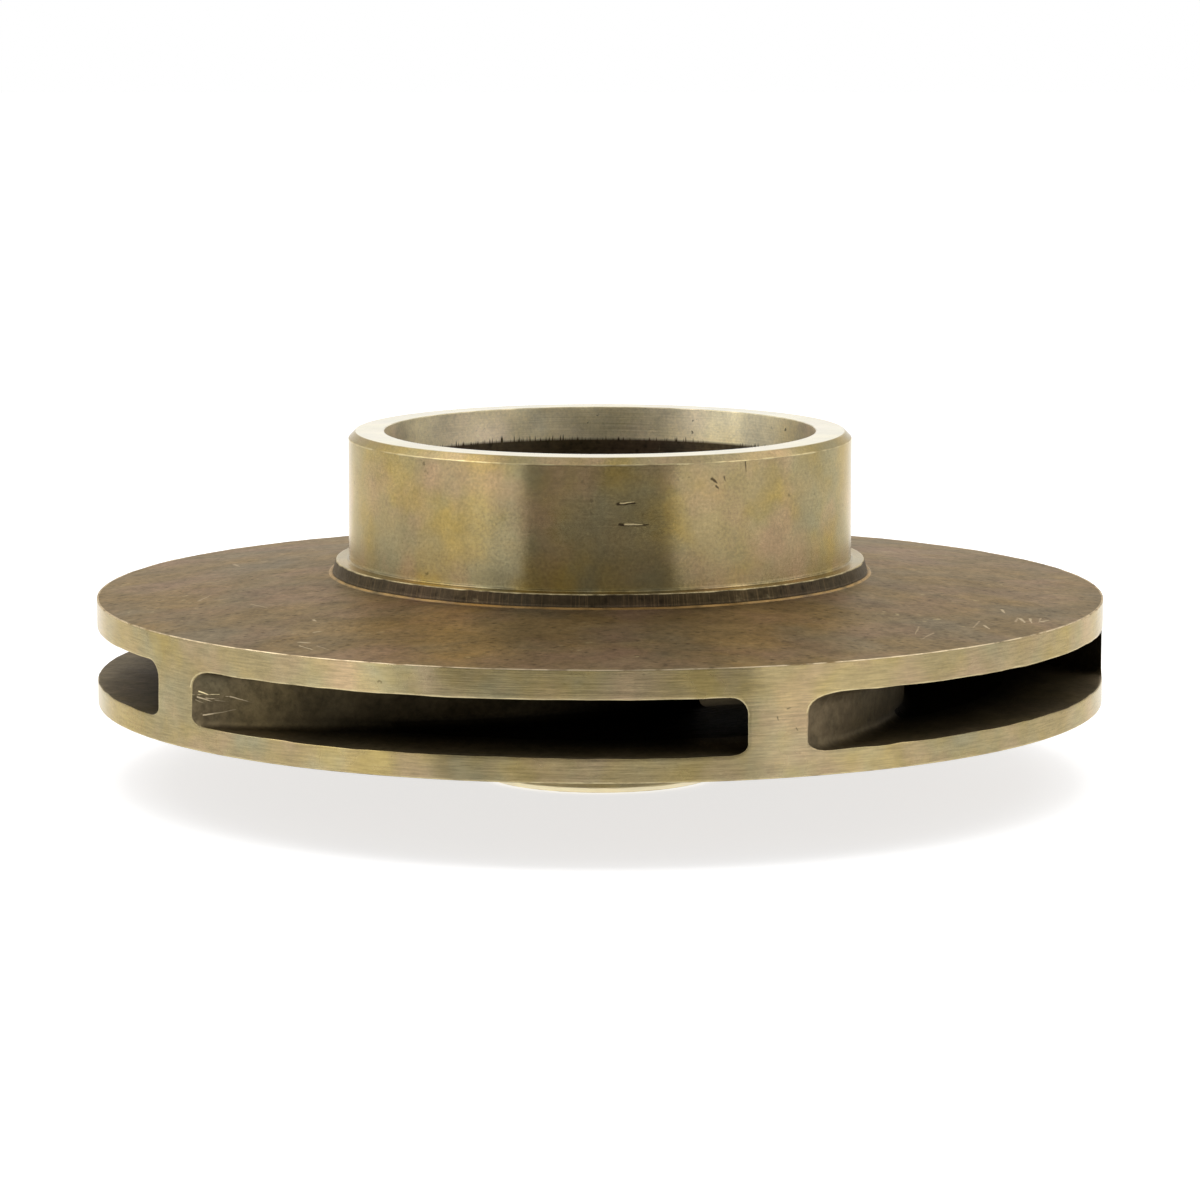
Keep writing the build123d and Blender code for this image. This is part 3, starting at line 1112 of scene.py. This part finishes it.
def weathered(tree, shader, colour, line_marks):
    """Gives the shader a colour under line marks, as (start, end, width, tone): scratch lines, nicks and some
    painted shadows. Then come edge wear, and painted shade where the edge value is below 0.
    """
    edges = placed(tree, edge_wear)
    for start, end, width, tone in line_marks:
        first, last = round_shaft(*start), round_shaft(*end)
        mask = placed(tree, scratch, Start=first, Along=last - first, Width=width * MM)["Mask"]
        colour = tree.mixed(mask, colour, tone)
    colour = tree.mixed(edges["Worn"], colour, RUBBED)
    # Painted shade where the edge value is below 0.
    colour = tree.mixed(edges["Dirt"], colour, PAINTED_SHADE)
    tree.wire(shader, Base_Color=colour)
    return colour


def bumped(tree, shader, strength, depth, height):
    """Raises the shader's surface by a height field, with its depth in metres."""
    bump = tree.node("ShaderNodeBump", Strength=strength, Distance=depth, Height=height)
    tree.wire(shader, Normal=bump.outputs[0])


def brushed(tree, shader, anisotropy):
    """Stretches highlights upright, across the marks that run round the shaft."""
    tangent = tree.node("ShaderNodeTangent", {"direction_type": "RADIAL", "axis": "Z"}).outputs[0]
    tree.wire(shader, Anisotropic=anisotropy, Anisotropic_Rotation=0.25, Tangent=tangent)


# %% Metal that the lathe turned
GRAZING = (0.91, 0.84, 0.70, 1.0)
WHITE_GRAZING = (1.0, 1.0, 0.96, 1.0)
PATCH_DULLNESS = 0.03


def hues(*tones):
    """Four colours for the tarnish, from red, green and blue each."""
    return {name: (*tone, 1.0) for name, tone in zip(HUE_NAMES, tones)}


TURNED_HUES = hues((0.305, 0.245, 0.128), (0.335, 0.260, 0.105), (0.278, 0.248, 0.150), (0.345, 0.258, 0.155))
RING_HUES = hues((0.308, 0.245, 0.126), (0.360, 0.268, 0.092), (0.272, 0.240, 0.140), (0.360, 0.258, 0.150))
FACED_HUES = hues((0.84, 0.75, 0.52), (0.86, 0.75, 0.48), (0.80, 0.73, 0.54), (0.86, 0.74, 0.56))


def turned_metal(
    number, tones, rough, streaks, lines, depth, anisotropy, mottle=0.0, line_marks=(), grazing=GRAZING
):
    """Turned bronze: lines, streaks, tarnish, rubbed edges, painted shade in inner corners, and any scratch
    lines with their painted shadows.
    """
    tree, shader = shader_tree(number)
    ridges = placed(tree, turned_lines, Lines=lines)
    stain = placed(tree, tarnish, Mottle=mottle, **tones)
    gain = tree.ramp(ridges["Streak"], 0.0, 1.0, 1.0 + streaks * 0.4, 1.0 - streaks * 0.6)
    weathered(tree, shader, tree.scaled(stain["Color"], gain), line_marks)
    roughness = tree.math("MULTIPLY_ADD", stain["Patch"], PATCH_DULLNESS, rough)
    tree.wire(shader, Metallic=1.0, Specular_Tint=grazing, Roughness=roughness)
    brushed(tree, shader, anisotropy)
    bumped(tree, shader, 0.6, depth, ridges["Height"])


# %% The turned finishes, their scratches, and painted shadows beside two of them
SHINING = (0.85, 0.72, 0.42, 1.0)
SHADED = (0.07, 0.05, 0.025, 1.0)
DULLED = (0.11, 0.085, 0.045, 1.0)
# The SHADED strokes are dark: two run beside bright scratches as their painted shadows, and four more stand
# alone.
RING_SCRATCHES_AND_SHADOWS = [
    ((44.45, -86.1, 53.65), (44.45, -82.4, 53.75), 0.35, SHADED),
    ((44.45, -85.6, 53.75), (44.45, -82.6, 53.95), 0.15, SHINING),
    ((44.45, -85.8, 50.15), (44.45, -79.4, 49.95), 0.30, SHADED),
    ((44.45, -84.6, 50.2), (44.45, -80.8, 50.1), 0.20, SHINING),
    ((44.45, -64.9, 57.4), (44.45, -63.6, 56.6), 0.30, SHADED),
    ((44.45, -63.9, 56.1), (44.45, -63.2, 55.6), 0.25, SHADED),
    ((44.45, -61.9, 57.6), (44.45, -61.6, 56.9), 0.20, SHADED),
    ((44.45, -56.4, 60.0), (44.45, -56.2, 58.2), 0.15, SHADED),
]
RIM_SCRATCHES = [
    ((88.9, -71.3, 24.2), (88.9, -71.2, 23.6), 0.14, DULLED),
    ((88.9, -70.2, 25.4), (88.9, -69.8, 25.6), 0.13, DULLED),
    ((88.9, -69.2, 22.2), (88.9, -69.0, 21.7), 0.12, DULLED),
]
# columns: roughness, streaks, lines per metre, their depth in metres, anisotropy, mottle
turned_metal(TURNED, TURNED_HUES, 0.25, 0.26, 2600.0, 0.00004, 0.93, 0.35, RIM_SCRATCHES)
turned_metal(RING, RING_HUES, 0.22, 0.07, 3600.0, 0.00002, 0.95, 0.85, RING_SCRATCHES_AND_SHADOWS)
turned_metal(FACED, FACED_HUES, 0.09, 0.05, 3000.0, 0.000001, 0.5, grazing=WHITE_GRAZING)
turned_metal(BORE, TURNED_HUES, 0.28, 0.3, 3200.0, 0.00004, 0.8)

# %% Metal as the sand left it
FILM_TINT = (0.86, 0.76, 0.62, 1.0)


def cast_metal(number, tones, rough, grain, depth, metallic, pits, fleck=RUBBED, line_marks=()):
    """Cast skin: grain, tarnish, flecks, rubbed edges, and painted shade where the edge value is below 0. Its
    dull film tints what it mirrors.
    """
    tree, shader = shader_tree(number)
    sand = placed(tree, cast_grain, Grain=grain, Pits=pits)
    stain = placed(tree, tarnish, Freckles=0.6, Scale=60.0, Clouds=0.2, **tones)
    colour = tree.scaled(stain["Color"], tree.ramp(sand["Tone"], 0.25, 0.65, 0.45, 1.42))
    colour = tree.mixed(tree.times(sand["Flecks"], 0.75), colour, fleck)
    colour = weathered(tree, shader, colour, line_marks)
    roughness = tree.math("MULTIPLY_ADD", sand["Tone"], -0.15, rough + 0.08)
    tree.wire(shader, Metallic=metallic, Roughness=roughness, Specular_IOR_Level=0.25)
    tree.wire(shader, Specular_Tint=FILM_TINT)
    bumped(tree, shader, 0.8, depth, sand["Height"])
    return tree, shader, colour


def metres_out(tree):
    """Distance from the shaft in metres."""
    return tree.vector("LENGTH", level_part(tree, object_place(tree)))


# %% The cone's skin and its nicks
SKIN_HUES = hues((0.176, 0.126, 0.062), (0.212, 0.142, 0.060), (0.160, 0.128, 0.080), (0.215, 0.140, 0.088))
PALE_NICK = (0.50, 0.41, 0.27, 1.0)
FAINT_NICK = (0.36, 0.28, 0.18, 1.0)
CONE_NICKS = [
    ((67.6, -135.4, 34.4), (68.0, -134.4, 34.4), 0.35, PALE_NICK),
    ((74.3, -129.6, 33.8), (73.0, -129.0, 33.9), 0.35, PALE_NICK),
    ((81.0, -127.6, 33.2), (80.6, -126.2, 33.2), 0.45, PALE_NICK),
    ((83.0, -126.4, 33.0), (84.6, -123.6, 32.9), 0.22, PALE_NICK),
    ((82.0, -124.4, 33.1), (83.4, -122.0, 33.0), 0.20, FAINT_NICK),
    ((66.8, -153.6, 34.5), (66.4, -148.2, 34.5), 0.30, FAINT_NICK),
    ((80.8, -28.0, 33.2), (82.8, -29.8, 33.0), 0.45, PALE_NICK),
    ((82.0, -27.0, 33.1), (83.8, -29.4, 33.0), 0.30, PALE_NICK),
    ((81.4, -30.4, 33.1), (80.2, -27.6, 33.2), 0.30, FAINT_NICK),
    ((84.4, -27.8, 32.9), (85.0, -26.0, 32.9), 0.40, PALE_NICK),
    ((83.2, -25.6, 33.0), (84.6, -28.6, 32.9), 0.25, FAINT_NICK),
    ((79.6, -35.8, 33.3), (81.6, -37.0, 33.2), 0.40, PALE_NICK),
    ((77.2, -34.0, 33.5), (79.8, -38.6, 33.3), 0.25, FAINT_NICK),
    ((75.4, -24.2, 33.7), (77.0, -26.2, 33.6), 0.35, PALE_NICK),
    ((78.4, -45.0, 33.4), (80.8, -49.0, 33.2), 0.25, FAINT_NICK),
    ((74.0, -44.0, 33.8), (77.6, -47.6, 33.5), 0.22, FAINT_NICK),
    ((70.6, 161.0, 34.2), (67.6, 165.0, 34.4), 0.40, FAINT_NICK),
    ((72.8, -162.4, 34.0), (69.8, -165.8, 34.2), 0.35, FAINT_NICK),
]
# columns: roughness, grains per metre, their depth in metres, metallic, pits
cast_metal(SKIN, SKIN_HUES, 0.46, 1000.0, 0.00010, 0.8, 0.4, line_marks=CONE_NICKS)

# %% The passages, with painted light near the rim, painted shade further in, and more painted shade on the floor
# The passages take darker colours than the outer skin: painted shade.
SHADED_PASSAGE_HUES = hues((0.105, 0.080, 0.042), (0.118, 0.090, 0.044), (0.098, 0.080, 0.046), (0.11, 0.082, 0.047))
DIM_NICK = (0.27, 0.22, 0.14, 1.0)
BROWN_FLECK = (0.13, 0.10, 0.06, 1.0)
MOUTH_LIGHT_FROM, MOUTH_LIGHT_MOST = 0.074, 0.0885
VANE_SCRATCHES = [
    ((89.1, -140.2, 23.3), (86.4, -136.9, 23.7), 0.11, SHINING),
    ((88.4, -139.4, 23.5), (85.5, -135.8, 23.4), 0.10, PALE_NICK),
    ((85.5, -135.8, 23.4), (84.0, -134.0, 22.8), 0.12, PALE_NICK),
    ((84.3, -134.4, 22.9), (80.4, -129.6, 21.2), 0.10, DIM_NICK),
    ((86.8, -137.4, 22.7), (82.6, -132.3, 22.0), 0.08, DIM_NICK),
    ((88.2, -139.0, 24.0), (87.4, -138.1, 23.6), 0.16, SHINING),
    ((88.3, -139.2, 23.0), (87.0, -137.6, 22.4), 0.14, PALE_NICK),
    ((87.6, -138.3, 22.9), (86.2, -136.6, 22.9), 0.10, PALE_NICK),
    ((88.5, -139.4, 22.5), (87.6, -138.3, 21.9), 0.12, DIM_NICK),
    ((87.8, -138.6, 20.1), (86.5, -137.0, 20.6), 0.16, PALE_NICK),
    ((86.9, -137.5, 20.4), (85.0, -135.2, 21.3), 0.10, DIM_NICK),
    ((88.6, -139.6, 19.9), (87.9, -138.7, 20.3), 0.12, DIM_NICK),
]
# The floor with painted shade also mirrors less.
PASSAGE_SPECULAR = {PASSAGE: (0.25, FILM_TINT), SHADED_FLOOR: (0.08, (0.20, 0.18, 0.14, 1.0))}
for number, (mirrored, tint) in PASSAGE_SPECULAR.items():
    made = cast_metal(number, SHADED_PASSAGE_HUES, 0.5, 900.0, 0.00015, 0.65, 0.15, BROWN_FLECK, VANE_SCRATCHES)
    tree, shader, colour = made
    # Darker further in and lighter at the mouth: painted shade and painted light. Where the edge value is
    # below 0, the floor is darker still: painted shade.
    brightness = tree.ramp(metres_out(tree), MOUTH_LIGHT_FROM, MOUTH_LIGHT_MOST, 0.55, 1.12)
    shade = tree.times(brightness, tree.ramp(edge_value(tree), -1.0, 0.0, 0.3, 1.0))
    tree.wire(shader, Base_Color=tree.scaled(colour, shade))
    tree.wire(shader, Specular_IOR_Level=mirrored, Specular_Tint=tint)

# %% The shoulder's wall, hatched by the tool
HATCHED = (0.15, 0.10, 0.05, 1.0)
# The shoulder's wall takes a darker copy of the skin's colours: painted shade.
SHADED_SKIN_HUES = hues(*([0.24 * part for part in hue[:3]] for hue in SKIN_HUES.values()))
tree, shader, colour = cast_metal(SHOULDER, SHADED_SKIN_HUES, 0.5, 1000.0, 0.00012, 0.7, 0.4)
hatch = tree.times(placed(tree, strokes, Count=190.0)["Stroke"], 0.35)
tree.wire(shader, Base_Color=tree.mixed(hatch, colour, HATCHED))

# %% Burrs that shine where they were rubbed
SHOULDER_BURR, RIM_SHINE = (0.40, 0.26, 0.11, 1.0), (0.62, 0.51, 0.34, 1.0)
tree, shader, colour = cast_metal(BURR, SKIN_HUES, 0.34, 900.0, 0.00005, 1.0, 0.3)
shine = tree.ramp(noise_at(tree, object_place(tree), 330.0, 3.0), 0.32, 0.56)
at_rim = tree.ramp(metres_out(tree), 0.06, 0.08)
rubbed = tree.mixed(at_rim, SHOULDER_BURR, RIM_SHINE)
tree.wire(shader, Base_Color=tree.mixed(shine, colour, rubbed))

# %% The eye: turned near its end, with the tool's marks where the cut ran out
TICK_LENGTH = 0.0009
# Below the cut, the eye's wall takes the same darker copy, lifted a little: painted shade.
tree, shader, cast_colour = cast_metal(EYE, SHADED_SKIN_HUES, 0.5, 1000.0, 0.00012, 0.7, 0.4)
stain = placed(tree, tarnish, Clouds=0.2, Freckles=0.8, Mottle=0.6, **FACED_HUES)
height = tree.node("ShaderNodeSeparateXYZ", Vector=object_place(tree)).outputs["Z"]
ticks = placed(tree, strokes, Count=120.0)
tick = tree.times(tree.times(ticks["Stroke"], ticks["Strength"]), TICK_LENGTH)
above = tree.minus(tree.minus(height, eye_turned * MM), tick)
cut = tree.ramp(above, -0.0002, 0.0003)
tree.wire(shader, Base_Color=tree.mixed(cut, tree.scaled(cast_colour, 1.7), stain["Color"]))
tree.wire(shader, Metallic=tree.ramp(cut, 0.0, 1.0, 0.5, 0.9), Roughness=tree.ramp(cut, 0.0, 1.0, 0.5, 0.64))
brushed(tree, shader, 0.97)
bumped(tree, shader, 1.0, 0.0001, placed(tree, turned_lines, Lines=3600.0)["Height"])
print(f"{len(finish_materials)} finishes from {len(bpy.data.node_groups) - 1} shared effects")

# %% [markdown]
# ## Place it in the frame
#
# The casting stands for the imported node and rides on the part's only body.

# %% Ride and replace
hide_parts("impeller")
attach(impeller, "root")

# %% [markdown]
# ## Floor, light and camera
#
# Bronze shows what stands round it, so the light is mostly what the metal sees. The floor
# and the world look white to the camera and to glossy rays, and give a plainer light to
# everything else. Bent cards stand between them, and only reflections see these: a dark one
# on the camera's side shades the middle of each wall, reflectors and papers beside it put
# bright bands left and right, and high softboxes light the far wall of the eye. One more
# card is seen by diffuse light alone, and keeps the passages dark. Three lamps add shape.


# %% Floor and world
def seen_rays(tree):
    """1 for camera, glossy and transmission rays."""
    rays = tree.node("ShaderNodeLightPath").outputs
    seen = tree.math("MAXIMUM", rays["Is Camera Ray"], rays["Is Glossy Ray"])
    return tree.math("MAXIMUM", seen, rays["Is Transmission Ray"])


def studio_piece(name, points, faces, material, unseen=()):
    """A flat piece of the studio, which the given kinds of ray don't see."""
    mesh = bpy.data.meshes.new(name)
    mesh.from_pydata(points, [], faces)
    mesh.materials.append(material)
    piece = link(bpy.data.objects.new(name, mesh))
    for kind in unseen:
        setattr(piece, f"visible_{kind}", False)


WHITE = (1.0, 1.0, 1.0, 1.0)
FLOOR_TONE = (0.62, 0.62, 0.62, 1.0)
FLOOR_GLOW = 0.72
FLOOR_HALF = 3.0
AMBIENT = 0.55
white_floor = bpy.data.materials.new("white_floor")
tree = bare_tree(white_floor)
paper = tree.node("ShaderNodeBsdfDiffuse", Color=FLOOR_TONE).outputs[0]
glow = tree.node("ShaderNodeEmission", Color=WHITE, Strength=tree.times(seen_rays(tree), FLOOR_GLOW))
both = tree.node("ShaderNodeAddShader", _0=paper, _1=glow.outputs[0])
tree.node("ShaderNodeOutputMaterial", Surface=both.outputs[0])
corners = [(x * FLOOR_HALF, y * FLOOR_HALF, 0) for x, y in ((-1, -1), (1, -1), (1, 1), (-1, 1))]
studio_piece("floor", corners, [(0, 1, 2, 3)], white_floor)

world = bpy.data.worlds.new("white_room")
bpy.context.scene.world = world
tree = bare_tree(world)
strength = tree.math("MULTIPLY_ADD", seen_rays(tree), 1.0 - AMBIENT, AMBIENT)
backdrop = tree.node("ShaderNodeBackground", Color=WHITE, Strength=strength)
tree.node("ShaderNodeOutputWorld", Surface=backdrop.outputs[0])

# %% The cards, with profiles of (distance, height) and bearings from the camera's
UNSEEN = ("camera", "transmission", "volume_scatter", "shadow")
CARD_APEX = -0.047
CARD_LIFT, CARD_HEIGHT = 0.002, 1.6
CARD_STEPS = 24
WALL = ((1.2, CARD_LIFT), (1.2, CARD_HEIGHT))
FLOOR_AND_WALL = ((0.158, CARD_LIFT), *WALL)
NEAR_FLOOR = ((0.10, 2 * CARD_LIFT), (0.21, 2 * CARD_LIFT))
HIGH_WALL = ((1.1, 0.45), (1.1, CARD_HEIGHT))
CARDS = [
    ("dark_card", -36.5, 36.5, FLOOR_AND_WALL, (0.39, 0.38, 0.35, 1.0)),
    ("dark_flag", -45.0, 45.0, WALL, (0.08, 0.08, 0.08, 1.0)),
    ("left_reflector", -62.0, -51.0, FLOOR_AND_WALL, (1.40, 1.38, 1.31, 1.0)),
    ("right_reflector", 56.0, 76.0, FLOOR_AND_WALL, (1.20, 1.19, 1.15, 1.0)),
    ("left_paper", -66.0, -46.0, NEAR_FLOOR, (2.2, 2.15, 2.02, 1.0)),
    ("right_paper", 34.0, 64.0, NEAR_FLOOR, (2.2, 2.15, 2.02, 1.0)),
    ("left_softbox", -98.0, -61.0, HIGH_WALL, (3.9, 3.82, 3.60, 1.0)),
    ("left_back_softbox", -135.0, -100.0, HIGH_WALL, (1.8, 1.76, 1.66, 1.0)),
    ("right_back_softbox", 104.0, 128.0, HIGH_WALL, (2.0, 1.95, 1.82, 1.0)),
    ("right_softbox", 64.0, 88.0, HIGH_WALL, (2.9, 2.84, 2.68, 1.0)),
]


def bent(first, last, profile):
    """Points and faces of a card bent round the room between two bearings in degrees."""
    points, faces = [], []
    for step in range(CARD_STEPS + 1):
        angle = math.radians(-90 + first + (last - first) * step / CARD_STEPS)
        for distance, height in profile:
            points.append((distance * math.cos(angle), CARD_APEX + distance * math.sin(angle), height))
    rows = len(profile)
    for corner in range(rows * CARD_STEPS):
        if corner % rows < rows - 1:
            faces.append((corner, corner + rows, corner + rows + 1, corner + 1))
    return points, faces


for name, first, last, profile, tone in CARDS:
    material = bpy.data.materials.new(name)
    tree = bare_tree(material)
    glow = tree.node("ShaderNodeEmission", Color=tone, Strength=1.0)
    tree.node("ShaderNodeOutputMaterial", Surface=glow.outputs[0])
    unseen = UNSEEN + ("glossy" if name == "dark_flag" else "diffuse",)
    studio_piece(name, *bent(first, last, profile), material, unseen)
print(f"{len(CARDS)} cards round the casting")

# %% Lamps: name, place, size in metres, watts
LOOKED_AT = Vector((0.0, 0.0, 0.03))
LAMPS = [
    ("overhead", (0.0, 0.2, 1.4), 1.2, 9.0),
    ("left_side", (-0.8, 0.1, 1.3), 0.8, 4.0),
    ("right_side", (0.8, 0.1, 1.3), 0.8, 3.0),
]
for name, place, size, watts in LAMPS:
    lamp = bpy.data.lights.new(name, "AREA")
    lamp.size, lamp.energy = size, watts
    box = link(bpy.data.objects.new(name, lamp))
    box.location = place
    box.rotation_euler = (LOOKED_AT - Vector(place)).to_track_quat("-Z", "Y").to_euler()
    box.visible_glossy = False

# %% Camera
camera_data = bpy.data.cameras.new("camera")
camera_data.lens = 144.9
camera_data.sensor_width = 36.0
camera_data.clip_start = 0.01
camera = link(bpy.data.objects.new("camera", camera_data))
camera.location = (0.0, -0.849, 0.15457)
camera.rotation_euler = (math.radians(81.712), 0.0, 0.0)
bpy.context.scene.camera = camera
bpy.context.scene.view_settings.view_transform = "Standard"
